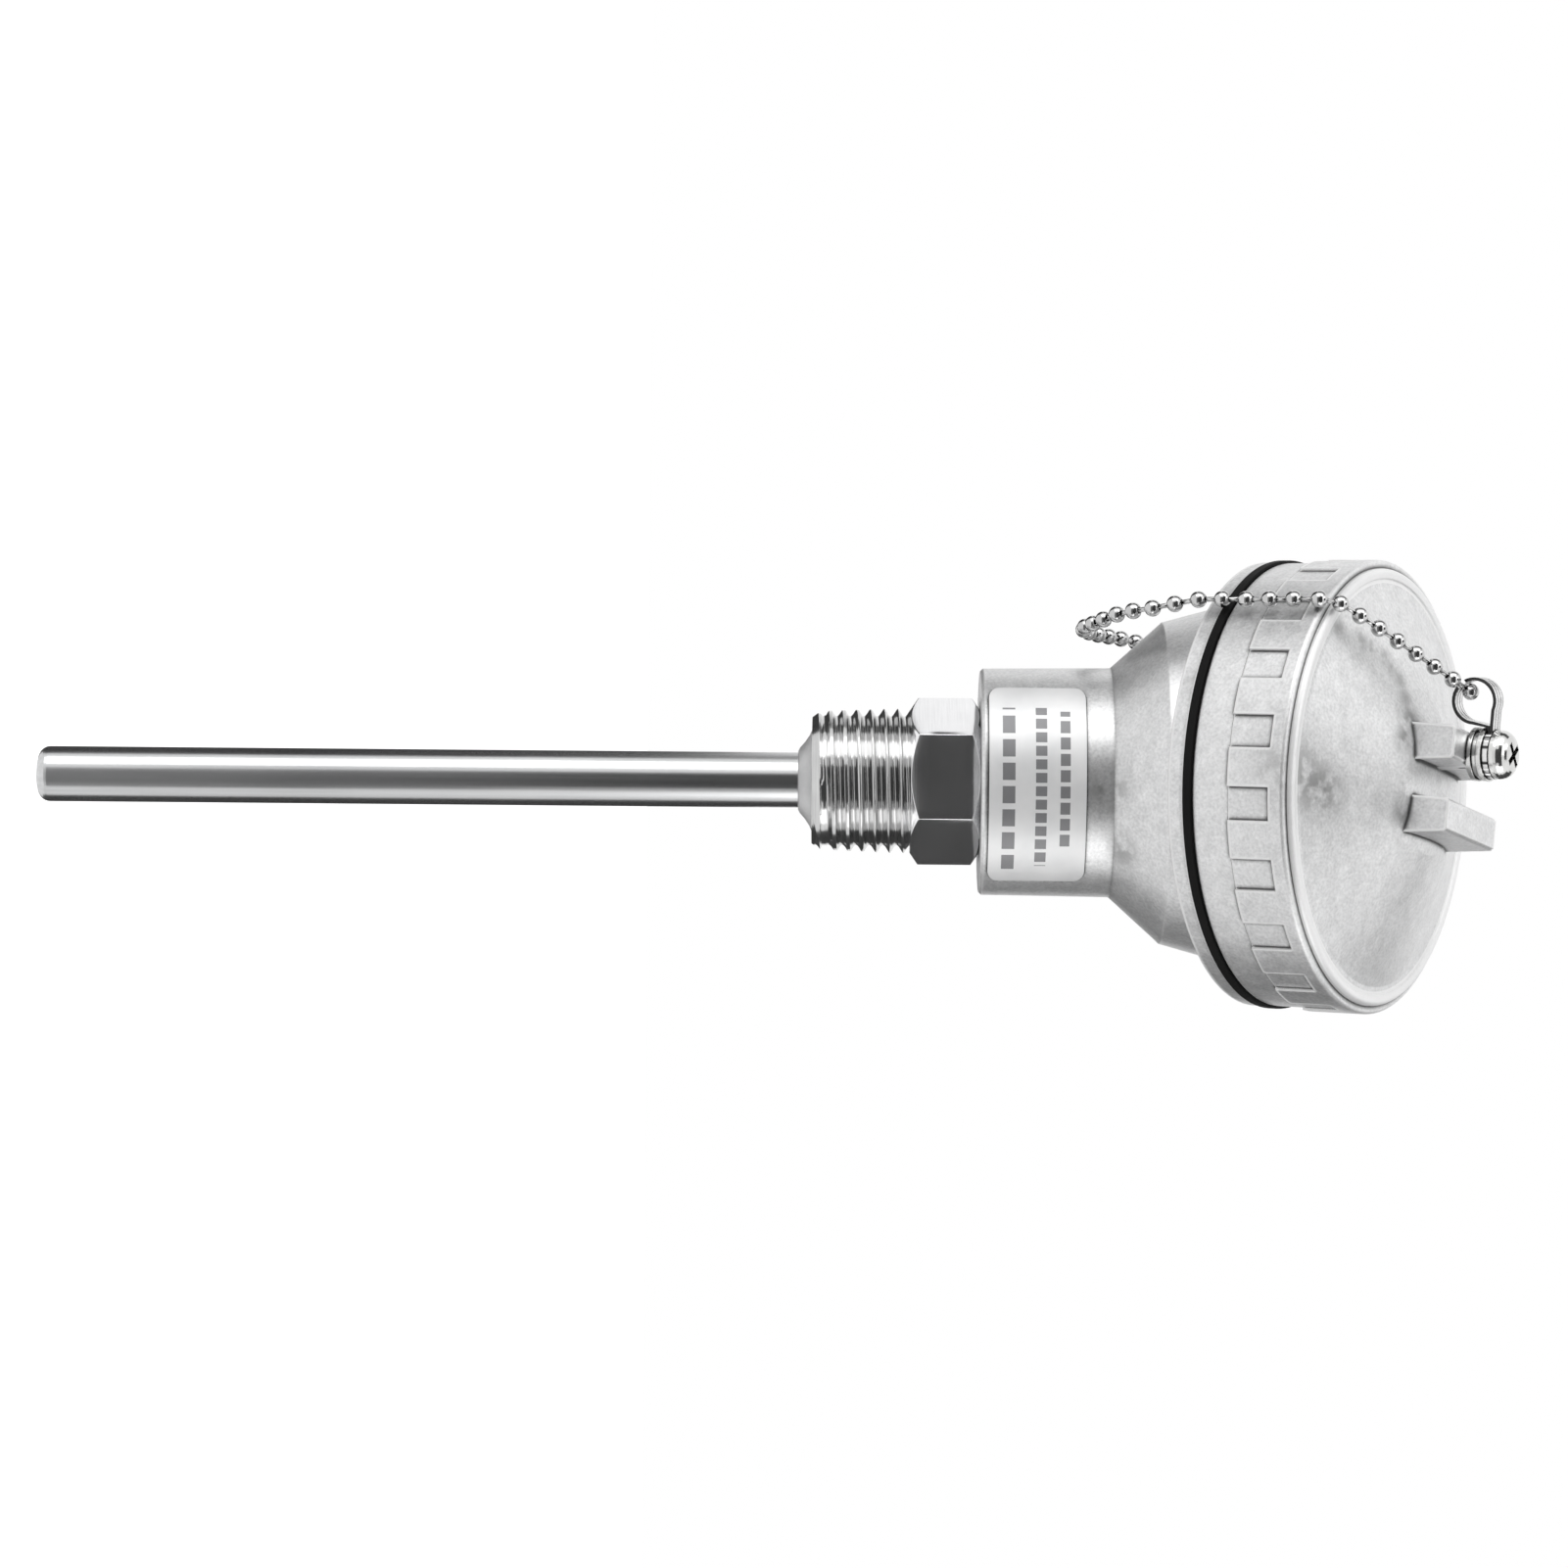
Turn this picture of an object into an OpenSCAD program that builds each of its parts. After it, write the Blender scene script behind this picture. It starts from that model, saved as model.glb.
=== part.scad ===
// Resistance thermometer probe with an inclined screw-cap connection head.
// +Z runs up the stem to the head. The origin is on the stem's axis at the
// lower face of the hexagon. The cap leans towards -Y, the cable entry is at +Y.

/* [Protection tube] */
// Outer diameter of the protection tube
tube_d = 8; // [6:0.5:10]
// Wall thickness of the protection tube
tube_wall = 1; // [0.8:0.1:1.4]
// Length of the tube below the hexagon
tube_len = 126.5; // [70:0.5:400]
// Radius of the closed tip's edge
tip_round = 1.6; // [0.5:0.1:2.5]

/* [Process fitting] */
// Major diameter of the process thread, a half-inch parallel pipe thread
thread_d = 20.955; // [18:0.005:26.5]
// Length of the process thread
thread_len = 14.2; // [10:0.1:20]
// Length of the thread's tapered lead-in
lead_len = 1.6; // [0.5:0.1:3]
// Length of the weld cone between tube and thread
nose_len = 2; // [1:0.1:5]
// Width across the flats of the hexagon
hex_af = 21; // [19:0.1:27]
// Height of the hexagon
hex_h = 10; // [6:0.1:14]
// Turn of the hexagon about the stem
hex_turn = -5.5; // [-30:0.5:30]
// Diameter of the upper thread that holds the head
spigot_d = 18; // [14:0.5:20]
// Length of the upper thread
spigot_len = 11; // [8:0.5:14]

/* [Head body] */
// Diameter of the neck at its lower end
neck_d = 32.8; // [30:0.1:36]
// Height of the neck above the hexagon
neck_h = 18.8; // [16:0.1:24]
// Taper of the chamber's outer wall, in radius
band_taper = 2.2; // [1:0.1:3]
// Height of the flare
flare_h = 7.4; // [6:0.1:10]
// How far the chamber's outer wall stays inside the collar
band_step = 2.5; // [1.5:0.1:3.5]
// Inner diameter of the terminal chamber
chamber_d = 39; // [37:0.1:42]
// Diameter of the wire space in the neck
core_d = 24; // [20:0.5:25]
// Height of the chamber's floor above the neck's top
floor_rise = 6.2; // [5:0.1:8]

/* [Lid plane] */
// Lean of the cap from the stem's axis, in degrees
lid_tilt = 30; // [24:0.5:34]
// Height of the flange's centre above the hexagon's lower face
lid_z = 51.5; // [50:0.1:56]
// How far the cap's edge stands over the flange's
flange_step = 0.4; // [0.2:0.1:1.5]
// Thickness of the flange
flange_t = 2.4; // [1.5:0.1:4]
// Thickness of the cap's threaded wall
skirt_wall = 4.2; // [3.8:0.1:5]
// Height of the collar above the flange
collar_h = 10; // [9:0.5:11]
// Thickness of the collar's wall
collar_wall = 3.5; // [3:0.1:4.5]

/* [Cap] */
// Outer diameter of the cap
cap_d = 65; // [62:0.1:72]
// Thickness of the black gasket
gasket_t = 1.2; // [0.8:0.1:3]
// Height of the cap's band, from the gasket to its shoulder
band_h = 14.1; // [13:0.1:18]
// How far the rim's bead stands in from the band
rim_step = 1.2; // [0.8:0.1:2.5]
// Height of the rim's bead above the shoulder
rim_h = 0.9; // [0.8:0.1:2]
// Depth of the stepped relief round the band
relief = 0.4; // [0.2:0.05:0.8]
// Number of steps round the band
relief_count = 20; // [12:1:30]
// Height of the relief's tongues
tongue_h = 6.2; // [4:0.1:8]
// Rise of the dome from its edge to its crown
dome_rise = 8.5; // [6:0.1:11]
// Wall thickness of the cap's dome
cap_wall = 3; // [2:0.1:4]
// Length of the two lugs
lug_len = 17.8; // [12:0.1:20]
// Width of a lug at its foot
lug_w = 5.4; // [4.6:0.1:6.5]
// Distance between the centres of the lugs
lug_gap = 10.4; // [9:0.1:13]
// Height of the lugs' tops above the cap's shoulder
lug_top = 14.3; // [12:0.1:17]
// Turn of the lugs about the cap's axis
lug_turn = -11.5; // [-20:0.5:20]

/* [Chain] */
// Diameter of a bead
bead_d = 2.4; // [2:0.1:3]
// Distance between the centres of neighbouring beads
bead_pitch = 3.65; // [3.2:0.05:4.5]
// Thickness of the wire links
link_d = 0.7; // [0.5:0.05:0.9]
// Place of the chain on the cap, from the lowest point of the rim, in degrees
chain_az = 51.5; // [40:0.5:60]
// Thickness of the clip's strip
strip_t = 0.45; // [0.3:0.05:0.6]
// Width of the clip's strip
strip_w = 2.8; // [2:0.1:3.4]
// Inner radius of the clip's loop
loop_r = 2.9; // [2.6:0.1:3.6]

/* [Screws] */
// Diameter of the fixing screws for chain and earth
screw_d = 4; // [3:0.5:4]
// Diameter of their pan heads
pan_d = 7; // [6.5:0.1:8]
// Height of their pan heads
pan_h = 2.7; // [2:0.1:3]
// Diameter of their washers
washer_d = 7.7; // [7.2:0.1:9]
// Thickness of their washers
washer_t = 0.7; // [0.5:0.1:1.2]

/* [Cable entry] */
// Diameter of the entry's thread
entry_d = 20; // [18:0.5:20]
// Outer diameter of the entry's boss
boss_d = 26; // [25.5:0.5:28]
// Height of the entry above the hexagon's lower face
boss_z = 46.5; // [46:0.1:48]
// Distance of the boss's face from the stem's axis
boss_y = 38; // [37:0.5:42]
// Diameter of the gland nut's bore
gland_bore = 10; // [8:0.5:12]
// Width across the flats of the gland nut
gland_af = 24; // [22:0.5:27]

/* [Terminal block] */
// Diameter of the ceramic base
base_d = 35; // [34:0.1:36]
// Thickness of the ceramic base
base_t = 7; // [6:0.5:9]
// Number of terminals
terminal_count = 4; // [2:1:4]
// Distance between neighbouring terminals
terminal_pitch = 5.2; // [5:0.1:5.3]
// Distance of the base's fixing screws from the stem's axis
fixing_r = 14.4; // [14.2:0.1:14.6]

/* [Fits] */
// Radial clearance of the cap's and gland's screw threads
thread_gap = 0.3; // [0.2:0.05:0.4]
// Clearance between the gasket and the cap that turns on it
seal_gap = 0.02; // [0.01:0.01:0.05]
// Radial clearance of fixed pieces in their holes
fit_gap = 0.05; // [0.03:0.01:0.1]

/* [Hidden] */
$fn = 72;
eps = 0.01;
big = 200;

// Stem
tube_r = tube_d / 2;
bore_r = tube_r - tube_wall;
tube_top = hex_h + spigot_len + 1;
tube_seat_z = -thread_len - nose_len;
seat_r = tube_r - 0.4;
thread_r = thread_d / 2;
spigot_r = spigot_d / 2;
hex_chamfer = 1.1;
element_r = 1.5;
element_len = 20;
element_gap = 1;
element_z = -tube_len + tube_wall + element_gap;
rod_r = bore_r - 0.3;
rod_z = element_z + element_len + 2;
rod_top = tube_top + 2;
wire_r = 0.3;
wire_spread = 1.2;

// Head
neck_r = neck_d / 2;
neck_draft = 0.2;
neck_top = hex_h + neck_h;
shoulder_z = neck_top + flare_h;
band_draft_h = 8;
floor_z = neck_top + floor_rise;
cap_r = cap_d / 2;
flange_r = cap_r - flange_step;
collar_r = cap_r - skirt_wall - thread_gap;
mouth_r = collar_r - collar_wall;
collar_top = flange_t + collar_h;
band_r = collar_r - band_step;
shoulder_r = band_r - band_taper;

// Cap, along its own axis from the flange's lower face
cap_w0 = flange_t + gasket_t + seal_gap;
shoulder_w = cap_w0 + band_h;
rim_r = cap_r - rim_step;
rim_w = shoulder_w + rim_h;
tongue_top = shoulder_w - 2.3;
skirt_r = cap_r - relief - 0.1;
recess_share = 0.46;
relief_turn = -90 - 360 / relief_count * 0.35;
dome_r = rim_r - 1.9;
dome_w = rim_w - 0.2;
crown_r = 9.5;
crown_w = dome_w + dome_rise - 0.9;
lug_w1 = shoulder_w + lug_top;
lug_foot_w = crown_w - 1.2;
lug_draft = 0.35;
screw_r = screw_d / 2;
washer_r = washer_d / 2;
lug_along = 1.2;
lug_side = -0.4;
screw_along = 0.4;
spring_washer_t = 0.8;
clip_w = lug_w1 + 2 * washer_t + spring_washer_t;

// Chain clip, in the plane of its own screw
neck_x = washer_r + 0.5;
loop_mid = loop_r + strip_t / 2;
loop_c = [neck_x + loop_mid + 0.1, -2];
cap_slot = -40;
anchor_slot = -5;

// Anchor of the chain, on the side of the cable entry's boss
bead_r = bead_d / 2;
pad_x = boss_d / 2 + 3;
pad_y = boss_y - 6;
pad_r = 4.2;
anchor_turn = 41;

// Cable entry
entry_r = entry_d / 2;
entry_depth = 11;
seat_y = boss_y - entry_depth;
grommet_t = 6.4;
gland_washer_t = 1;
gland_y = seat_y + grommet_t + gland_washer_t;
nut_gap = 0.5;
nut_h = 7;

// Terminal block
base_top = floor_z + base_t;
clamp_w = 4.2;
clamp_l = 11;
clamp_h = 6;
clamp_y = 5;
clamp_screw_y = 2.9;
wire_hole_y = -6;
wire_hole_r = 3.2;
clamp_wire_z = base_top + 2.2;
clamp_head_r = clamp_w / 2;
clamp_head_h = 1.6;
fixing_d = 3;
fixing_head_r = fixing_d / 2 + 1.4;
fixing_head_h = 2;
fixing_depth = 5.5;
spring_r = 2.6;
spring_wire = 0.6;
spring_turns = 4;
spring_h = 6;
pocket_depth = 3.5;
earth_y = -chamber_d / 2 + 3.9;
earth_top = floor_z + 5;
earth_r = 3.5;

// ---- Helpers ----------------------------------------------------------------

// Places children in the cap's frame: its axis is +Z, its origin the flange's lower face
module in_lid() {
    translate([0, 0, lid_z]) rotate([lid_tilt, 0, 0]) children();
}

// The same place for a point
function lid_point(p) = [
    p[0],
    p[1] * cos(lid_tilt) - p[2] * sin(lid_tilt),
    lid_z + p[1] * sin(lid_tilt) + p[2] * cos(lid_tilt)
];

// A point on the cap at a radius, an angle from the rim's lowest point and a height
function lid_polar(r, az, w) = lid_point([-r * sin(az), -r * cos(az), w]);

// Points of an arc
function arc(c, r, a0, a1, n) = [
    for (i = [0:n]) c + r * [cos(a0 + (a1 - a0) * i / n), sin(a0 + (a1 - a0) * i / n)]
];

// Turns children's +Z to the direction of a vector
module aim(v) {
    rotate([0, acos(v[2] / norm(v)), atan2(v[1], v[0])]) children();
}

module hex_prism(af, h) {
    cylinder(h = h, r = af / 2 / cos(30), $fn = 6);
}

// Everything below the plane at a height on the cap's axis
module below_lid(w) {
    in_lid() translate([-big / 2, -big / 2, w - big]) cube(big);
}

// Frames carried along a path: each ring keeps the last one's side, turned to the new direction
function unit(v) = v / norm(v);
function path_dir(p, i) = unit(p[min(i + 1, len(p) - 1)] - p[max(i - 1, 0)]);
function carried(p, side, i = 0, out = []) = i == len(p) ? out :
    let (t = path_dir(p, i), s = unit(side - (side * t) * t)) carried(p, s, i + 1, concat(out, [s]));

// Round wire swept along a list of points, which starts square to the given side
module wire(p, r, side, sides = 8) {
    n = len(p) - 1;
    u = carried(p, side);
    rings = [for (i = [0:n], j = [0:sides - 1])
        let (v = cross(path_dir(p, i), u[i]), a = 360 * j / sides)
        p[i] + r * (cos(a) * u[i] + sin(a) * v)
    ];
    walls = [for (i = [0:n - 1], j = [0:sides - 1])
        let (k = (j + 1) % sides)
        [i * sides + j, (i + 1) * sides + j, (i + 1) * sides + k, i * sides + k]
    ];
    ends = [[for (j = [0:sides - 1]) j], [for (j = [sides - 1:-1:0]) n * sides + j]];
    polyhedron(rings, concat(walls, ends));
}

// Cross recess, cut down from a head's top
module cross_recess(width, depth) {
    for (a = [45, 135]) rotate([0, 0, a]) {
        translate([-width / 2, -0.45, -depth]) cube([width, 0.9, depth + 1]);
    }
}

// Slot for a screwdriver across a head that stands on 0
module slot(head_r, head_h) {
    width = head_r * 0.28;
    translate([-head_r - 1, -width / 2, head_h / 2]) cube([2 * head_r + 2, width, head_h]);
}

// Pan-head screw: the head's underside is at 0, the shank runs down
module pan_screw(d, length, head_d, head_h) {
    head_r = head_d / 2;
    round_r = head_h * 0.7;
    difference() {
        union() {
            translate([0, 0, -length]) cylinder(h = length + eps, r = d / 2);
            rotate_extrude() polygon(concat(
                [[0, 0], [head_r - 0.2, 0], [head_r, 0.2]],
                arc([head_r - round_r, head_h - round_r], round_r, 0, 80, 6),
                [[0, head_h]]
            ));
        }
        translate([0, 0, head_h]) cross_recess(head_d * 0.56, head_h * 0.6);
    }
}

module flat_washer(r, hole, t) {
    difference() {
        cylinder(h = t, r = r);
        translate([0, 0, -1]) cylinder(h = t + 2, r = hole);
    }
}

// ---- Probe stem -------------------------------------------------------------

module protection_tube() {
    color([0.75, 0.76, 0.77]) difference() {
        rotate_extrude() polygon(concat(
            [[0, tube_top], [0, -tube_len]],
            [[tube_r - tip_round - 1, -tube_len + 0.1]],
            arc([tube_r - tip_round, -tube_len + tip_round + 0.3], tip_round, -78, 0, 6),
            [[tube_r, tube_seat_z], [seat_r, tube_seat_z], [seat_r, tube_top]]
        ));
        translate([0, 0, -tube_len + tube_wall + 0.5]) cylinder(h = big * 3, r = bore_r);
    }
}

module sensing_element() {
    color([0.93, 0.92, 0.88]) translate([0, 0, element_z + 0.3]) cylinder(h = element_len, r = element_r);
}

// Where each lead leaves the insulator, and its terminal
function wire_xy(i) = wire_spread * [cos(90 * i + 135), sin(90 * i + 135)];
function terminal_x(i) = (i - (terminal_count - 1) / 2) * terminal_pitch;

module insulator_rod() {
    color([0.93, 0.92, 0.88]) difference() {
        translate([0, 0, rod_z]) cylinder(h = rod_top - rod_z, r = rod_r);
        for (i = [0:3]) translate(concat(wire_xy(i), rod_z - 1)) {
            cylinder(h = rod_top - rod_z + 2, r = wire_r + 0.2);
        }
    }
}

// Each lead runs up the rod, through the base's hole and over to its clamp
module lead_wires() {
    color([0.85, 0.86, 0.87]) for (i = [0:terminal_count - 1]) {
        p = wire_xy(i);
        side = (i - (terminal_count - 1) / 2) * 1.3;
        wire([
            [p[0], p[1], element_z + element_len + 0.35],
            [p[0], p[1], rod_top + 0.5],
            [side, wire_hole_y, floor_z],
            [side, wire_hole_y, base_top + 1],
            [terminal_x(i), clamp_y - clamp_l / 2 - 2, clamp_wire_z],
            [terminal_x(i), clamp_y - clamp_screw_y, clamp_wire_z]
        ], wire_r, [1, 0, 0]);
    }
}

module process_fitting() {
    color([0.62, 0.62, 0.63]) difference() {
        union() {
            rotate_extrude() polygon([
                [0, tube_seat_z],
                [tube_r + 0.6, tube_seat_z],
                [thread_r * 0.68, -thread_len],
                [thread_r - 1.1, -thread_len],
                [thread_r, -thread_len + lead_len],
                [thread_r, 0.1],
                [0, 0.1]
            ]);
            intersection() {
                rotate([0, 0, hex_turn]) hex_prism(hex_af, hex_h);
                rotate_extrude() polygon([
                    [0, 0],
                    [hex_af / 2, 0],
                    [hex_af / 2 + hex_chamfer * 2, hex_chamfer],
                    [hex_af / 2 + hex_chamfer * 2, hex_h - hex_chamfer],
                    [hex_af / 2, hex_h],
                    [0, hex_h]
                ]);
            }
            cylinder(h = hex_h + spigot_len, r = spigot_r);
        }
        translate([0, 0, -big / 2]) cylinder(h = big, r = seat_r + fit_gap);
    }
}

// ---- Head body --------------------------------------------------------------

// Outer form about the stem: neck, flare and chamber wall
module head_profile() {
    rotate_extrude() polygon([
        [0, hex_h],
        [neck_r - 0.4, hex_h],
        [neck_r, hex_h + 0.4],
        [neck_r + neck_draft, neck_top],
        [shoulder_r - 0.4, shoulder_z - 0.4],
        [shoulder_r, shoulder_z],
        [band_r, shoulder_z + band_draft_h],
        [band_r, lid_z + band_r],
        [0, lid_z + band_r]
    ]);
}

module entry_boss() {
    translate([0, 0, boss_z]) rotate([-90, 0, 0]) {
        cylinder(h = boss_y - 1, r = boss_d / 2);
        translate([0, 0, boss_y - 1 - eps]) cylinder(h = 1 + eps, r1 = boss_d / 2, r2 = boss_d / 2 - 1);
    }
    translate([0, pad_y, boss_z]) rotate([0, -90, 0]) cylinder(h = pad_x, r = pad_r);
}

module chamber() {
    intersection() {
        translate([0, 0, floor_z]) cylinder(h = big, r = chamber_d / 2);
        below_lid(eps);
    }
    in_lid() cylinder(h = collar_top + 1, r = mouth_r);
}

module head_body() {
    color([0.80, 0.81, 0.81]) difference() {
        union() {
            intersection() {
                head_profile();
                below_lid(1);
            }
            in_lid() cylinder(h = flange_t, r = flange_r);
            in_lid() cylinder(h = collar_top - 1, r = collar_r);
            in_lid() translate([0, 0, collar_top - 1 - eps]) cylinder(h = 1 + eps, r1 = collar_r, r2 = collar_r - 1);
            entry_boss();
        }
        difference() {
            chamber();
            translate([0, earth_y, 0]) cylinder(h = earth_top, r = earth_r);
            translate([-earth_r, earth_y - 10, 0]) cube([2 * earth_r, 10, earth_top]);
        }
        translate([0, 0, hex_h - 1]) cylinder(h = spigot_len + 1.5, r = spigot_r + fit_gap);
        translate([0, 0, hex_h + spigot_len]) cylinder(h = floor_z - hex_h - spigot_len + eps, r = core_d / 2);
        for (x = [-fixing_r, fixing_r]) translate([x, 0, floor_z - fixing_depth]) {
            cylinder(h = fixing_depth + 1, r = fixing_d / 2 + fit_gap);
        }
        translate([0, earth_y, earth_top - 6]) cylinder(h = 7, r = screw_r + fit_gap);
        translate([0, 0, boss_z]) rotate([-90, 0, 0]) cylinder(h = boss_y, r = gland_bore / 2 + 1.5);
        translate([0, seat_y, boss_z]) rotate([-90, 0, 0]) cylinder(h = entry_depth + 1, r = entry_r);
        translate([-pad_x - 1, pad_y, boss_z]) rotate([0, 90, 0]) {
            cylinder(h = pad_x - entry_r - 0.7 + 1, r = screw_r + fit_gap);
        }
    }
}

// Thin blank foil on the side of the neck that faces -Y
module neck_label() {
    label_w = 27.6;
    label_h = neck_h - 5;
    label_z = hex_h + 1;
    label_t = 0.15;
    corner = 1.5;
    skin_r = neck_r + neck_draft;
    color([0.88, 0.88, 0.88]) intersection() {
        difference() {
            translate([0, 0, label_z - 1]) cylinder(h = label_h + 2, r = skin_r + label_t);
            translate([0, 0, label_z - 2]) cylinder(h = label_h + 4, r = skin_r + 0.02);
        }
        translate([0, 0, label_z]) rotate([90, 0, 0]) linear_extrude(big / 2) {
            translate([-label_w / 2 + corner, 0]) square([label_w - 2 * corner, label_h]);
            translate([-label_w / 2, corner]) square([label_w, label_h - 2 * corner]);
            for (x = [-1, 1], z = [corner, label_h - corner]) {
                translate([x * (label_w / 2 - corner), z]) circle(corner);
            }
        }
    }
}

// ---- Terminal block ---------------------------------------------------------

module at_terminals() {
    for (i = [0:terminal_count - 1]) translate([terminal_x(i), clamp_y, 0]) children();
}

module terminal_base() {
    rib = terminal_pitch - clamp_w - 0.3;
    color([0.95, 0.94, 0.90]) difference() {
        union() {
            translate([0, 0, floor_z]) cylinder(h = base_t, r = base_d / 2);
            for (i = [0:terminal_count]) {
                translate([terminal_x(i - 0.5) - rib / 2, clamp_y - clamp_l / 2, base_top - eps]) {
                    cube([rib, clamp_l, clamp_h * 0.6]);
                }
            }
        }
        translate([0, wire_hole_y, floor_z - 1]) cylinder(h = base_t + 2, r = wire_hole_r);
        translate([0, earth_y, floor_z - 1]) cylinder(h = base_t + 2, r = earth_r + 1);
        translate([-earth_r - 1, earth_y - 10, floor_z - 1]) cube([2 * earth_r + 2, 10, base_t + 2]);
        for (x = [-fixing_r, fixing_r]) translate([x, 0, floor_z]) {
            translate([0, 0, -1]) cylinder(h = base_t + 2, r = fixing_d / 2 + 0.2);
            translate([0, 0, base_t - pocket_depth]) cylinder(h = pocket_depth + 1, r = spring_r + spring_wire / 2 + 0.15);
        }
    }
}

module terminal_clamps() {
    color([0.83, 0.68, 0.36]) at_terminals() difference() {
        translate([-clamp_w / 2, -clamp_l / 2, base_top]) cube([clamp_w, clamp_l, clamp_h]);
        translate([0, -clamp_l / 2 - 1, clamp_wire_z]) rotate([-90, 0, 0]) cylinder(h = clamp_l + 2, r = 1.1);
        for (y = [-clamp_screw_y, clamp_screw_y]) translate([0, y, clamp_wire_z]) {
            cylinder(h = clamp_h, r = 1.25 + fit_gap);
        }
    }
}

// Slotted clamp screws, two in each terminal
module terminal_screws() {
    head_z = base_top + clamp_h;
    color([0.80, 0.80, 0.78]) at_terminals() {
        for (y = [-clamp_screw_y, clamp_screw_y]) translate([0, y, head_z]) difference() {
            union() {
                cylinder(h = clamp_head_h, r = clamp_head_r);
                translate([0, 0, clamp_wire_z + wire_r + 0.05 - head_z]) {
                    cylinder(h = head_z - clamp_wire_z - wire_r, r = 1.25);
                }
            }
            slot(clamp_head_r, clamp_head_h);
        }
    }
}

module base_screws() {
    head_z = base_top - pocket_depth + spring_h;
    color([0.72, 0.72, 0.72]) for (x = [-fixing_r, fixing_r]) translate([x, 0, head_z]) {
        difference() {
            union() {
                cylinder(h = fixing_head_h, r = fixing_head_r);
                translate([0, 0, floor_z - head_z - fixing_depth + 0.5]) {
                    cylinder(h = head_z - floor_z + fixing_depth - 0.5 + eps, r = fixing_d / 2);
                }
            }
            slot(fixing_head_r, fixing_head_h);
        }
    }
}

// Open coil spring between two heights, with room for its own wire
module base_springs() {
    coil_r = spring_r - spring_wire / 2;
    steps = 18;
    climb = spring_h - spring_wire - 0.1;
    turn = [for (i = [0:spring_turns * steps])
        let (a = 360 * i / steps)
        [coil_r * cos(a), coil_r * sin(a), spring_wire / 2 + 0.05 + climb * i / steps / spring_turns]
    ];
    color([0.70, 0.71, 0.72]) for (x = [-fixing_r, fixing_r]) {
        translate([x, 0, base_top - pocket_depth]) wire(turn, spring_wire / 2, [1, 0, 0], 6);
    }
}

module earth_washer() {
    color([0.82, 0.70, 0.40]) translate([0, earth_y, earth_top]) flat_washer(3.4, screw_r + 0.2, washer_t);
}

module earth_screw() {
    color([0.82, 0.70, 0.40]) translate([0, earth_y, earth_top + washer_t]) pan_screw(screw_d, washer_t + 5, 6.4, pan_h);
}

// ---- Cable entry ------------------------------------------------------------

module in_entry(y) {
    translate([0, y, boss_z]) rotate([-90, 0, 0]) children();
}

module gland_grommet() {
    color([0.10, 0.10, 0.10]) in_entry(seat_y) difference() {
        cylinder(h = grommet_t, r = entry_r - 0.4);
        translate([0, 0, -1]) cylinder(h = grommet_t + 2, r = gland_bore * 0.35);
    }
}

module gland_washer() {
    color([0.75, 0.75, 0.75]) in_entry(gland_y - gland_washer_t) flat_washer(entry_r - 0.4, gland_bore / 2 - 0.2, gland_washer_t);
}

module gland_nut() {
    stub = boss_y - gland_y + nut_gap;
    color([0.80, 0.81, 0.81]) in_entry(gland_y) difference() {
        union() {
            cylinder(h = stub + 1, r = entry_r - thread_gap);
            translate([0, 0, stub]) intersection() {
                hex_prism(gland_af, nut_h);
                rotate_extrude() polygon([
                    [0, 0],
                    [gland_af / 2 + 2, 0],
                    [gland_af / 2 + 2, nut_h - 1.2],
                    [gland_af / 2 - 0.3, nut_h],
                    [0, nut_h]
                ]);
            }
        }
        translate([0, 0, -1]) cylinder(h = big, r = gland_bore / 2);
        translate([0, 0, stub + nut_h - 1]) cylinder(h = 1 + eps, r1 = gland_bore / 2, r2 = gland_bore / 2 + 1);
    }
}

// ---- Cap --------------------------------------------------------------------

module cap_gasket() {
    color([0.06, 0.06, 0.06]) in_lid() translate([0, 0, flange_t]) difference() {
        cylinder(h = gasket_t, r = cap_r - 0.1);
        translate([0, 0, -1]) cylinder(h = gasket_t + 2, r = collar_r + thread_gap);
    }
}

// Closed outline of the cap, turned about its own axis
module cap_shell() {
    rotate_extrude() polygon(concat(
        [
            [0, crown_w - cap_wall],
            [crown_r - 2, crown_w - cap_wall - 0.6],
            [collar_r - 2, dome_w - cap_wall],
            [collar_r + thread_gap, dome_w - cap_wall - 1.5],
            [collar_r + thread_gap, cap_w0],
            [skirt_r - 0.3, cap_w0],
            [skirt_r, cap_w0 + 0.3],
            [skirt_r, tongue_top - tongue_h],
            [cap_r, tongue_top - tongue_h]
        ],
        arc([cap_r - 0.5, shoulder_w - 0.5], 0.5, 0, 90, 3),
        [[rim_r, shoulder_w]],
        arc([rim_r - 0.7, rim_w - 0.7], 0.7, 0, 100, 6),
        [
            [dome_r + 0.5, rim_w - 0.1],
            [dome_r + 0.3, dome_w - 0.1],
            [dome_r - 0.8, dome_w + 0.05],
            [dome_r - 2, dome_w + 0.5],
            [crown_r, crown_w],
            [crown_r - 2.5, crown_w + 0.6],
            [0, crown_w + 0.9]
        ]
    ));
}

// One recess of the stepped relief, between two tongues
module recess() {
    sweep = 360 / relief_count * recess_share;
    rotate([0, 0, -sweep / 2]) rotate_extrude(angle = sweep) {
        translate([cap_r - relief, tongue_top - tongue_h - 1]) square([relief + 1, tongue_h + 1]);
    }
}

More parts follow.
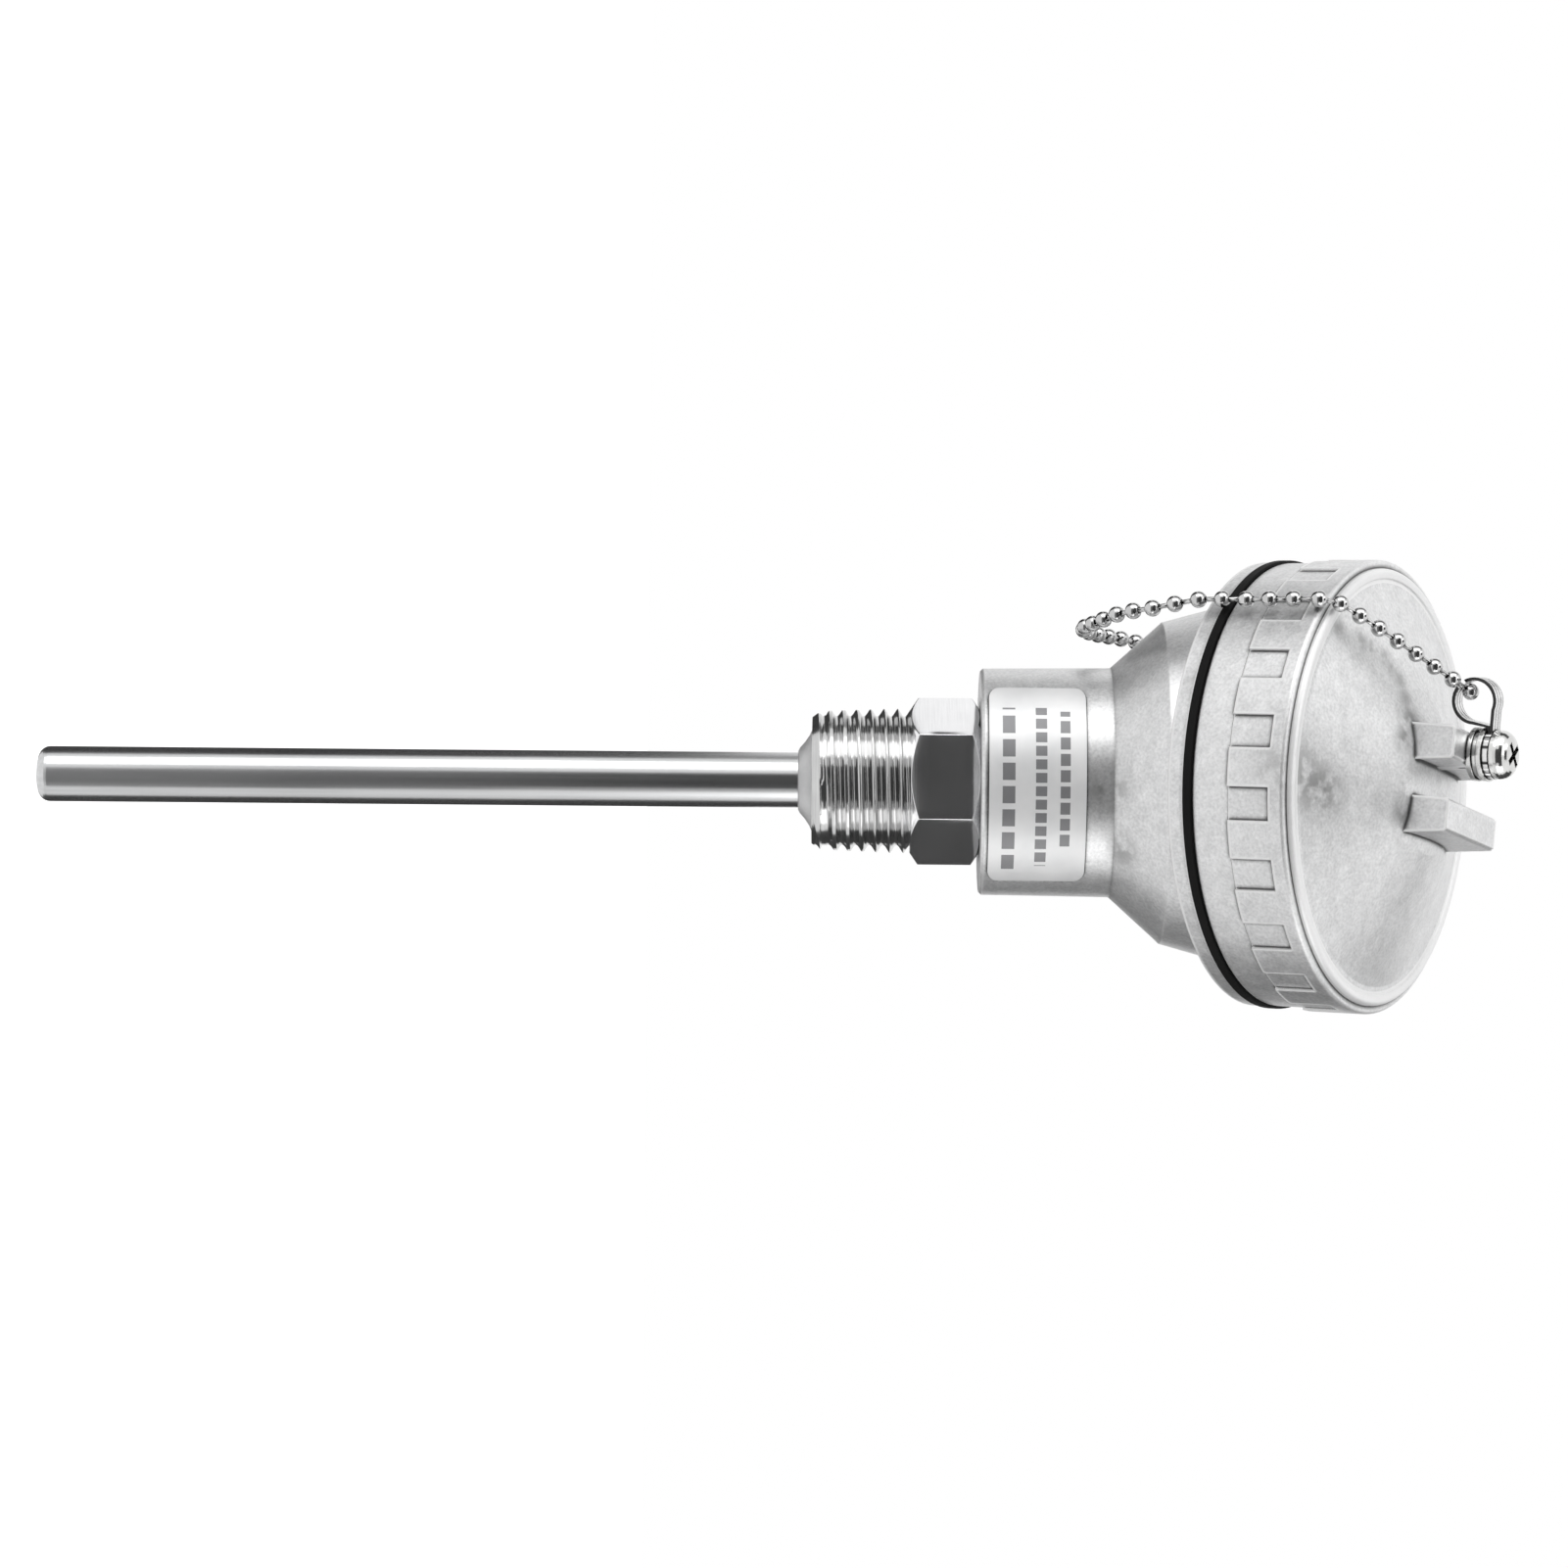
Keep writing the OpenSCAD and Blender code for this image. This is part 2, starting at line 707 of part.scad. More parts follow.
// Drafted bar with broken edges, its foot in the dome
module lug() {
    rotate([90, 0, 0]) linear_extrude(lug_len, center = true) polygon([
        [-lug_w / 2, lug_foot_w],
        [lug_w / 2, lug_foot_w],
        [lug_w / 2 - lug_draft, lug_w1 - 0.4],
        [lug_w / 2 - lug_draft - 0.4, lug_w1],
        [-lug_w / 2 + lug_draft + 0.4, lug_w1],
        [-lug_w / 2 + lug_draft, lug_w1 - 0.4]
    ]);
}

// Places children on the axis of the screw in the upper lug
module at_cap_screw(w) {
    in_lid() rotate([0, 0, lug_turn]) translate([-lug_gap / 2, screw_along, w]) children();
}

module cap() {
    color([0.83, 0.84, 0.84]) difference() {
        union() {
            in_lid() rotate([0, 0, relief_turn]) cap_shell();
            in_lid() rotate([0, 0, lug_turn]) for (x = [-lug_gap / 2, lug_gap / 2]) translate([x + lug_side, lug_along, 0]) lug();
        }
        in_lid() for (i = [0:relief_count - 1]) rotate([0, 0, relief_turn + 360 / relief_count * (i + 0.5)]) recess();
        at_cap_screw(lug_w1 - 5.5) cylinder(h = 6, r = screw_r + fit_gap);
    }
}

module cap_washers() {
    color([0.78, 0.78, 0.78]) for (w = [lug_w1, lug_w1 + washer_t + spring_washer_t]) {
        at_cap_screw(w) flat_washer(washer_r, screw_r + 0.2, washer_t);
    }
}

module cap_spring_washer() {
    color([0.70, 0.70, 0.70]) at_cap_screw(lug_w1 + washer_t) difference() {
        flat_washer(washer_r - 0.3, screw_r + 0.2, spring_washer_t);
        rotate([0, 0, 215]) translate([0, -0.3, -1]) cube([washer_r, 0.6, spring_washer_t + 2]);
    }
}

module cap_screw() {
    color([0.78, 0.79, 0.80]) at_cap_screw(clip_w + 2 * strip_t) pan_screw(screw_d, 2 * strip_t + clip_w - lug_w1 + 5, pan_d, pan_h);
}

// ---- Chain clips ------------------------------------------------------------

// Unit normal of a flat path at one of its points
function path_normal(p, i) = let (d = path_dir(p, i)) [-d[1], d[0]];

// Strip of constant thickness along a path in the plane
module ribbon(p, t) {
    n = len(p) - 1;
    polygon(concat(
        [for (i = [0:n]) p[i] + path_normal(p, i) * t / 2],
        [for (i = [n:-1:0]) p[i] - path_normal(p, i) * t / 2]
    ));
}

// Place of the bead that a clip holds, against its slot
function held_bead(slot) = loop_c + (loop_r - bead_r - 0.06) * [cos(slot), sin(slot)];

// Folded strip: two eyes under the screw's head and a round loop with a slot for the link
module clip(slot) {
    reach = norm([loop_c[0] - neck_x, loop_c[1]]);
    aim_a = atan2(-loop_c[1], neck_x - loop_c[0]);
    open_a = acos(loop_mid / reach);
    slot_r = link_d / 2 + 0.35;
    difference() {
        union() {
            for (k = [0, 1]) translate([0, 0, k * strip_t]) cylinder(h = strip_t, r = washer_r - 0.4);
            rotate([90, 0, 0]) linear_extrude(strip_w, center = true) {
                ribbon(concat(
                    [[1, strip_t / 2], [neck_x - 0.4, strip_t / 2]],
                    arc(loop_c, loop_mid, aim_a + open_a, 270, 10)
                ), strip_t);
                ribbon(concat(
                    arc(loop_c, loop_mid, 268, 360 + aim_a - open_a, 20),
                    [[neck_x - 0.4, strip_t * 1.5], [1, strip_t * 1.5]]
                ), strip_t);
            }
        }
        translate([0, 0, -1]) cylinder(h = 2 * strip_t + 2, r = screw_r + 0.1);
        translate([loop_c[0], 0, loop_c[1]]) rotate([0, -slot, 0]) {
            translate([0, -slot_r, -slot_r]) cube([loop_r + 2, strip_w, 2 * slot_r]);
        }
    }
}

module cap_clip() {
    color([0.74, 0.75, 0.76]) at_cap_screw(clip_w) rotate([0, 0, 180 - lug_turn]) clip(cap_slot);
}

// Places children on the anchor screw's axis, pointing away from the boss
module at_anchor(h) {
    translate([-pad_x - h, pad_y, boss_z]) rotate([0, -90, 0]) rotate([0, 0, 180 + anchor_turn]) children();
}

module anchor_clip() {
    color([0.74, 0.75, 0.76]) at_anchor(2 * strip_t) rotate([180, 0, 0]) clip(anchor_slot);
}

module anchor_washer() {
    color([0.78, 0.78, 0.78]) at_anchor(2 * strip_t) flat_washer(washer_r, screw_r + 0.2, washer_t);
}

module anchor_screw() {
    color([0.78, 0.79, 0.80]) at_anchor(2 * strip_t + washer_t) pan_screw(screw_d, 2 * strip_t + washer_t + pad_x - entry_r - 1.5, pan_d, pan_h);
}

// ---- Bead chain -------------------------------------------------------------

// Bead in the cap's clip and bead in the anchor's clip
clip_side = -lug_gap / 2;
clip_axis = [
    clip_side * cos(lug_turn) - screw_along * sin(lug_turn),
    clip_side * sin(lug_turn) + screw_along * cos(lug_turn)
];
cap_bead = held_bead(cap_slot);
anchor_bead = held_bead(anchor_slot);
chain_start = lid_point([clip_axis[0] - cap_bead[0], clip_axis[1], clip_w + cap_bead[1]]);
chain_end = [
    -pad_x - 2 * strip_t + anchor_bead[1],
    pad_y - anchor_bead[0] * sin(anchor_turn),
    boss_z - anchor_bead[0] * cos(anchor_turn)
];
clear_r = cap_r + bead_r + 0.3;

// Route: over the dome and the rim, down the band, hanging free, up to the anchor
route = [
    chain_start,
    lid_polar(cap_r - 1.2, chain_az + 4, rim_w + bead_r + 0.3),
    lid_polar(clear_r + 0.1, chain_az, shoulder_w - 1),
    lid_polar(clear_r, chain_az, cap_w0 + 2),
    lid_polar(clear_r, chain_az, -0.5),
    [-25.4, -14.5, 34.5],
    [-24.6, -9.5, 29.9],
    [-23.2, -3, 26.6],
    [-22.3, 4, 25.1],
    [-21.5, 11, 27.1],
    [-20.6, 20, 32.5],
    chain_end
];

// Smooth curve through the route's points
function spline(p, i, t) = let (
    n = len(p) - 1,
    a = p[max(i - 1, 0)],
    b = p[i],
    c = p[min(i + 1, n)],
    d = p[min(i + 2, n)]
) b + ((c - a) * t + (2 * a - 5 * b + 4 * c - d) * t * t + (3 * b - a - 3 * c + d) * t * t * t) / 2;

fine = 10;
curve = concat([for (i = [0:len(route) - 2], k = [0:fine - 1]) spline(route, i, k / fine)], [chain_end]);
function run_length(c, i = 0, s = 0, out = []) =
    i >= len(c) - 1 ? concat(out, [s]) : run_length(c, i + 1, s + norm(c[i + 1] - c[i]), concat(out, [s]));
marks = run_length(curve);
chain_len = marks[len(marks) - 1];
bead_steps = round(chain_len / bead_pitch);

// Point at a distance along the curve
function mark_at(s, i = 0) = (i >= len(marks) - 2 || marks[i + 1] > s) ? i : mark_at(s, i + 1);
function along(s) = let (i = mark_at(s)) curve[i] + (curve[i + 1] - curve[i]) * (s - marks[i]) / (marks[i + 1] - marks[i]);
beads = [for (k = [0:bead_steps]) along(chain_len * k / bead_steps)];
link_depth = 0.5;

// Bored balls, each open towards its neighbours
module chain_beads() {
    color([0.80, 0.80, 0.79]) for (k = [0:bead_steps]) translate(beads[k]) difference() {
        sphere(bead_r, $fn = 24);
        for (n = [k - 1, k + 1]) if (n >= 0 && n <= bead_steps) aim(beads[n] - beads[k]) {
            translate([0, 0, bead_r - link_depth - 0.1]) cylinder(h = 1, r = link_d / 2 + 0.08, $fn = 16);
        }
    }
}

// Wire links, each ending inside two beads
module chain_links() {
    color([0.72, 0.72, 0.72]) for (k = [0:bead_steps - 1]) {
        d = beads[k + 1] - beads[k];
        translate(beads[k]) aim(d) translate([0, 0, bead_r - link_depth]) {
            cylinder(h = norm(d) - 2 * (bead_r - link_depth), r = link_d / 2, $fn = 16);
        }
    }
}

// ---- Nodes ------------------------------------------------------------------

protection_tube();
sensing_element();
insulator_rod();
lead_wires();
process_fitting();
head_body();
neck_label();
terminal_base();
terminal_clamps();
terminal_screws();
base_screws();
base_springs();
earth_screw();
earth_washer();
gland_grommet();
gland_washer();
gland_nut();
cap_gasket();
cap();
cap_screw();
cap_washers();
cap_spring_washer();
cap_clip();
chain_beads();
chain_links();
anchor_clip();
anchor_washer();
anchor_screw();
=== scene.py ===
# %% [markdown]
# # A resistance thermometer with its connection head
#
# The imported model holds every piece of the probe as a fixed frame: the closed
# steel tube, the screwed fitting, the slanted head with its cap, the bead chain
# and what the head hides. This lesson dresses that frame. It gives each piece
# the finish of the real one and adds the forms that are too fine for the frame.

# %% Load the frame
import functools
import math
import bpy
from mathutils import Matrix, Vector


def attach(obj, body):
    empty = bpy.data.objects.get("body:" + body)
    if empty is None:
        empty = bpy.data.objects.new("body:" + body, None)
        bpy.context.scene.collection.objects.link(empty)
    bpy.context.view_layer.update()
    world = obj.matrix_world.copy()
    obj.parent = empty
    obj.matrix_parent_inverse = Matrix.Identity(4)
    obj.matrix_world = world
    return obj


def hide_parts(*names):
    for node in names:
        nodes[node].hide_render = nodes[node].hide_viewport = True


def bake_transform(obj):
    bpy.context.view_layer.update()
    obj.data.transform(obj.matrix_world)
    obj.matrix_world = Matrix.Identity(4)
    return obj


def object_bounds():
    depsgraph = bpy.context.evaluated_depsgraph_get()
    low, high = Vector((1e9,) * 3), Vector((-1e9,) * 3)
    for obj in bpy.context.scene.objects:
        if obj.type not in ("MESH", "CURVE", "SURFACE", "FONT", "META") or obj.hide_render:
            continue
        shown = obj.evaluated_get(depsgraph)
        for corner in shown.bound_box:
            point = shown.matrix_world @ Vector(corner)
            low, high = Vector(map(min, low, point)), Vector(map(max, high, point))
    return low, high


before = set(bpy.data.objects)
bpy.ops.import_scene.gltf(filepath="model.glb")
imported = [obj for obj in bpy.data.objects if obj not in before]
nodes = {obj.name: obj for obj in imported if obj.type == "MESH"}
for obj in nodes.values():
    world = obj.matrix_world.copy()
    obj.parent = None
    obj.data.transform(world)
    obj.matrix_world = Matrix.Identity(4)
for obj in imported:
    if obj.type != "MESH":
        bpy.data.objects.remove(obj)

scene = bpy.context.scene
cad_box = [list(corner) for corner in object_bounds()]
box_mm = [[round(v * 1000, 1) for v in corner] for corner in cad_box]
print("nodes:", len(nodes), "box in mm:", box_mm)

# %% [markdown]
# ## Where things are
#
# The stem runs along Z. The cap sits on a plane that leans by 30 degrees, so
# its pieces are easiest to make in a frame of their own, with the cap's axis
# upright, and are then put in place by one matrix. Lengths are written in
# millimetres and turned to metres once, at the end. Each size that the frame
# already has is repeated where it is first needed.

# %% The cap's own frame
MM = 0.001
LID_TILT = math.radians(30)
LID_Z = 51.5
LID = Matrix.Translation((0, 0, LID_Z)) @ Matrix.Rotation(LID_TILT, 4, "X")
LID_AXIS = LID.to_3x3() @ Vector((0, 0, 1))
print("the cap's plane crosses the stem's axis at", LID_Z, "mm")

# %% [markdown]
# ## The camera
#
# The probe lies across the picture with its tip on the left, seen at right
# angles to the stem. The camera therefore looks along +Y with its own right
# side along +Z, and stands two degrees to the side of the cap's lowest point.
# A long lens keeps the tube's edges almost parallel. The camera stands across
# from the end of the fitting, and a small shift of the lens brings the whole
# probe into its view without turning it.

# %% Camera
DISTANCE, LOOK_Z = 670, -8.4
VIEW_WIDTH, SHIFT_RIGHT, SHIFT_UP = 227.3, -9.867, -0.497
ASIDE, ROLL = -2, 0.5
camera_data = bpy.data.cameras.new("camera")
camera = bpy.data.objects.new("camera", camera_data)
scene.collection.objects.link(camera)
scene.camera = camera
camera_data.sensor_width = 36
camera_data.lens = camera_data.sensor_width * DISTANCE / VIEW_WIDTH
camera_data.shift_x = SHIFT_RIGHT / VIEW_WIDTH
camera_data.shift_y = SHIFT_UP / VIEW_WIDTH
camera_data.clip_start, camera_data.clip_end = 0.05, 10
across = Matrix(((0, -1, 0), (0, 0, -1), (1, 0, 0))).to_4x4()
roll = Matrix.Rotation(math.radians(ROLL), 4, "Z")
aside = Matrix.Rotation(math.radians(ASIDE), 4, "Z")
stand = Matrix.Translation((0, -DISTANCE * MM, LOOK_Z * MM))
camera.matrix_world = aside @ stand @ across @ roll
scene.view_settings.view_transform = "Standard"
print("lens", round(camera_data.lens, 1), "mm")

# %% [markdown]
# ## Shader maths as plain sums
#
# A material is a tree of nodes. Wiring each sum by hand hides what it means,
# so a small class wraps a socket and lets Python's own signs add the Math
# nodes. A second class holds the tree and adds any other node, from its type,
# its settings and the values or links of its inputs. A third is a material,
# with the few patterns that most finishes share.

# %% Signals
def sign(operation, reflected=False):
    """A method that adds the Math node of one of Python's signs."""
    def method(one, other):
        return one.graph.sum_of(operation, *((other, one) if reflected else (one, other)))
    return method


class Signal:
    """A node's output that can be used in sums."""

    def __init__(self, graph, socket):
        self.graph, self.socket = graph, socket

    __add__, __radd__ = sign("ADD"), sign("ADD", reflected=True)
    __sub__, __rsub__ = sign("SUBTRACT"), sign("SUBTRACT", reflected=True)
    __mul__, __rmul__ = sign("MULTIPLY"), sign("MULTIPLY", reflected=True)
    __truediv__, __rtruediv__ = sign("DIVIDE"), sign("DIVIDE", reflected=True)
    __gt__, __lt__ = sign("GREATER_THAN"), sign("LESS_THAN")
    most = sign("MAXIMUM")

print("a sum of two signals adds one Math node")

# %% Node trees
class Graph:
    """A node tree, and the one method that adds to it."""

    def __init__(self, tree):
        self.tree = tree

    def add(self, kind, settings, inputs, output=0):
        node = self.tree.nodes.new("ShaderNode" + kind)
        for key, value in settings.items():
            if key == "stops":
                for element, (position, colour) in zip(node.color_ramp.elements, value):
                    element.position, element.color = position, colour
            else:
                setattr(node, key, value)
        for key, value in inputs.items():
            if isinstance(value, Signal):
                self.tree.links.new(value.socket, node.inputs[key])
            else:
                node.inputs[key].default_value = value
        return Signal(self, node.outputs[output])

    def sum_of(self, operation, *terms):
        return self.add("Math", {"operation": operation}, dict(enumerate(terms)))

    def vector(self, operation, one, two=(0, 0, 0), output="Value"):
        return self.add("VectorMath", {"operation": operation}, {0: one, 1: two}, output)

    def ray_is(self, *kinds):
        """1 for a ray of any of these kinds."""
        rays = [self.add("LightPath", {}, {}, kind) for kind in kinds]
        return functools.reduce(Signal.most, rays)

print("any other node comes from its type, settings and inputs")

# %% Finishes
def opaque(tone):
    """A colour with its alpha, from one grey level or from three shares."""
    return (*(tone if isinstance(tone, tuple) else (tone,) * 3), 1)


class Finish(Graph):
    """One material, with its shader and the tools to feed it."""

    def __init__(self, name, **constants):
        self.material = bpy.data.materials.new(name)
        self.material.use_nodes = True
        super().__init__(self.material.node_tree)
        self.shader = self.tree.nodes["Principled BSDF"]
        for socket, value in constants.items():
            self.shader.inputs[socket.replace("_", " ")].default_value = value
        self.place = self.add("TexCoord", {}, {}, "Object")

    def feed(self, socket, signal):
        self.tree.links.new(signal.socket, self.shader.inputs[socket])

    def noise(self, size_mm, detail=3.0, stretch=(1, 1, 1)):
        """Blotches of about this size, drawn out along an axis by a small stretch."""
        spot = self.add("Mapping", {}, {"Vector": self.place, "Scale": stretch})
        scale = 0.5 / (size_mm * MM)
        return self.add("TexNoise", {}, {"Vector": spot, "Scale": scale, "Detail": detail})

    def between(self, share, low, high, start=0.0, end=1.0):
        """A colour that runs from low to high while a signal runs from start to end."""
        stops = [(start, opaque(low)), (end, opaque(high))]
        return self.add("ValToRGB", {"stops": stops}, {0: share})

    def span(self, signal, start, end):
        """0 where the signal is at start, 1 where it is at end, and a soft step between."""
        settings = {"interpolation_type": "SMOOTHSTEP"}
        return self.add("MapRange", settings, {0: signal, 1: start, 2: end})

    def cover(self, share, under, tone):
        """One tone laid over another colour where a mask is 1."""
        return self.add("Mix", {"data_type": "RGBA"}, {0: share, 6: under, 7: opaque(tone)}, 2)

    def soft_edges(self, radius_mm):
        """The look of a small rounding on every edge."""
        return self.add("Bevel", {"samples": 6}, {"Radius": radius_mm * MM})

    def bumps(self, height, strength, depth_mm, soften=None):
        inputs = {"Height": height, "Strength": strength, "Distance": depth_mm * MM}
        if soften is not None:
            inputs["Normal"] = soften
        self.feed("Normal", self.add("Bump", {}, inputs))

    def done(self):
        print(self.material.name, "has", len(self.tree.nodes), "nodes")
        return self.material

print("a grey of 0.5 is", opaque(0.5))

# %% [markdown]
# ## Drawn, turned and welded steel
#
# The tube is drawn steel with a satin polish along its length. Long streaks of
# noise give both its tone and its gloss. The fitting is turned on a lathe, so
# its marks run round it, and its edges are painted bright, partly where tools
# wear them and partly as a painted highlight.
# The hexagon's faces are smoother than the thread. The weld is rougher and has
# the grain of steel that has melted. A picture of brushed steel could be wrapped
# round them, but noise in space needs no unwrapping and has no seam.

# %% Satin tube
def satin_steel():
    f = Finish("satin_steel", Metallic=1.0)
    streaks = f.noise(0.35, 4.0, (1, 1, 0.02))
    clouds = f.noise(9.0, 3.0, (1, 1, 0.5))
    tone = streaks * 0.6 + clouds * 0.4
    f.feed("Base Color", f.between(tone, (0.52, 0.525, 0.53), (0.70, 0.705, 0.71), 0.3, 0.7))
    f.feed("Roughness", 0.17 + streaks * 0.08 + clouds * 0.04)
    f.bumps(streaks, 0.15, 0.01)
    return f.done()


STEEL = satin_steel()

# %% Turned and milled steel of the fitting
def edge_wear_and_highlight_mask(f, rounded):
    """A mask of 1 on the edges, from how far the rounding turns the surface."""
    flat = f.add("NewGeometry", {}, {}, "Normal")
    turn = 1 - f.vector("DOT_PRODUCT", rounded, flat)
    return f.add("MapRange", {}, {0: turn, 1: 0.03, 2: 0.25})


def turned_steel(name, low, high, rough):
    f = Finish(name, Metallic=1.0)
    rings = f.noise(0.12, 2.0, (0.03, 0.03, 1))
    clouds = f.noise(4.0, 4.0)
    soft = f.soft_edges(0.12)
    # Edges are painted bright, partly wear from the tools and partly a painted highlight.
    tool_wear_and_highlight = edge_wear_and_highlight_mask(f, soft)
    steel = f.between(rings * 0.4 + clouds * 0.6, low, high, 0.3, 0.7)
    f.feed("Base Color", f.cover(tool_wear_and_highlight, steel, 0.92))
    f.feed("Roughness", rough + clouds * 0.07 - tool_wear_and_highlight * 0.04)
    f.bumps(rings, 0.15, 0.01, soft)
    return f.done()


THREADED = turned_steel("turned_steel", 0.50, 0.68, 0.12)
MILLED = turned_steel("milled_steel", (0.82, 0.82, 0.83), (0.96, 0.96, 0.97), 0.08)

# %% Weld between tube and thread
def weld_steel():
    f = Finish("weld_steel", Metallic=1.0)
    grain = f.noise(0.3, 4.0)
    clouds = f.noise(2.5, 3.0)
    f.feed("Base Color", f.between(grain * 0.4 + clouds * 0.6, (0.50, 0.50, 0.505), 0.74))
    f.feed("Roughness", 0.42 + grain * 0.16)
    f.bumps(grain + clouds * 0.5, 0.5, 0.05)
    return f.done()


WELD = weld_steel()

# %% [markdown]
# ## Plated pieces
#
# Screws, washers, springs and the chain are plated: smooth and bright, with a
# faint haze, and with painted shade where two of them meet. The clip on the cap
# is a pressed strip with fine ribs across it. They could be modelled, with many
# small faces. A cosine of the place along the strip draws them more lightly,
# both as bumps and as painted shade between them.

# %% Bright plating
CLIP_MIDDLE = LID @ Vector((-5, 1.43, 35))
CLIP_ACROSS = LID.to_3x3() @ Vector((0, 1, 0))
RIB_PITCH = 0.93
OPEN = 0.97  # the share of open sky from which a place counts as bare


def corner(f, reach_mm, inside=False, full=0.6):
    """0 on open surface and up to 1 in a corner, or on an edge when it looks inward."""
    settings = {"samples": 8, "inside": inside}
    clear = f.add("AmbientOcclusion", settings, {"Distance": reach_mm * MM}, "AO")
    return f.span(clear, OPEN, full)


def ribs_along(f, middle, axis):
    """A wave of ribs, 1 on top of each and 0 between them."""
    along = f.vector("DOT_PRODUCT", f.place, tuple(axis)) - middle.dot(axis) * MM
    return f.sum_of("COSINE", along / (RIB_PITCH * MM / math.tau)) * 0.5 + 0.5


def bright_plate(name, tint, rough, edge_mm=0.12, ribbed=False):
    f = Finish(name, Metallic=1.0)
    haze = f.noise(1.2, 4.0)
    scratches = f.noise(0.25, 3.0, (1, 0.08, 0.4))
    plating = f.between(haze, tuple(c * 0.8 for c in tint), tint, 0.3, 0.7)
    height, strength, depth = scratches, 0.1, 0.006
    if ribbed:
        ribs = ribs_along(f, CLIP_MIDDLE, CLIP_ACROSS)
        # The grooves between the ribs are painted dark, as shade.
        plating = f.cover(f.span(ribs, 0.12, 0.0), plating, 0.05)
        height, strength, depth = ribs, 1.0, 0.12
    # Painted shade darkens the corners, where two pieces meet.
    f.feed("Base Color", f.cover(corner(f, 0.35), plating, 0.03))
    f.feed("Roughness", rough + haze * 0.06 + scratches * 0.04)
    f.bumps(height, strength, depth, f.soft_edges(edge_mm))
    return f.done()


NICKEL = bright_plate("bright_nickel", (0.80, 0.80, 0.79), 0.1)
CHAIN = bright_plate("chain_nickel", (0.64, 0.64, 0.64), 0.04, 0.03)
CAP_CLIP = bright_plate("cap_clip_strip", (0.93, 0.93, 0.93), 0.2, ribbed=True)
BRASS = bright_plate("brass", (0.78, 0.58, 0.28), 0.22)
SPRING = bright_plate("spring_steel", (0.55, 0.55, 0.56), 0.25)
WIRE = bright_plate("lead_wire", (0.70, 0.70, 0.70), 0.3, 0.05)

# %% [markdown]
# ## Painted casting
#
# Head and cap are light alloy castings under a silver stove paint. The paint
# is full of fine metal flakes, so it mirrors softly and looks grainy. It is
# painted darker in soft patches on the head, and with painted shadow at the
# roots of the lugs and painted shade on the dome. A painted shade line runs in
# from the rim of the dome towards the lugs. Painted shade darkens the corners,
# but not the rim itself. Edges are painted bright and less like a mirror,
# partly where the paint wears through and partly as a painted highlight, and
# the bead round the rim has a painted highlight. All of this could be painted
# on an unwrapped mesh. Masks that come from place and shape need no
# unwrapping and suit every piece that shares the paint. They are laid over it
# one by one.

# %% Darker patches, painted shade and a painted shade line
RIM_R, SHOULDER = 31.3, 17.72
RIM_WIDTH, RIM_EDGE, BEAD_WIDTH, BEAD_RISE = 3.5, 0.9, 2.1, 0.03
HEAD_SPOTS = [  # the middle of each darker patch on the head, and its radius
    ((0, -16.4, 28), 6), ((9, -15, 30), 5), ((17, -22, 41), 5),
    ((-14, -24, 40), 5), ((-3, -34, 52), 9)]
# painted shadow at the lugs' roots and painted shade on the dome, in the cap's frame
LID_SHADE_SPOTS = [
    ((3.2, -9.4, 25.5), 3.2), ((-7, -9, 25.3), 2.8), ((0, -24, 20.5), 6), ((-9, -7, 25), 3)]
# the bends, the end and the radius of a painted shade line on the dome, in the cap's frame
SHADE_LINE_TURNS = [(-21, -12, 20.3), (-18.5, -7.5, 21.9), (-15.5, -5.5, 23.3), (-10.5, -5.5, 25.1)]
SHADE_LINE_END = (-22.8, -16.5, 18.7)
SHADE_LINE_R = 2.7

spots = HEAD_SPOTS + [(LID @ Vector(middle), radius) for middle, radius in LID_SHADE_SPOTS]
turns = [Vector(turn) for turn in SHADE_LINE_TURNS]
halfway = [(one + two) / 2 for one, two in zip(turns, turns[1:])]
shade_line_spots = [LID @ spot for spot in turns + halfway + [Vector(SHADE_LINE_END)]]
print(len(spots), "dull places and", len(shade_line_spots), "spots in the smear")

# %% Painted alloy
def patch(f, middle, radius):
    """A soft round patch of the surface, by its middle and radius in millimetres."""
    away = f.vector("DISTANCE", f.place, tuple(c * MM for c in middle))
    return f.span(away, radius * MM, 0.0)


def lid_place(f):
    """How far a point lies from the cap's axis, and how far along it, in millimetres."""
    arm = f.vector("SUBTRACT", f.place, tuple(LID.translation * MM), output=0)
    lever = f.vector("CROSS_PRODUCT", arm, tuple(LID_AXIS), output=0)
    return f.vector("LENGTH", lever) / MM, f.vector("DOT_PRODUCT", arm, tuple(LID_AXIS)) / MM


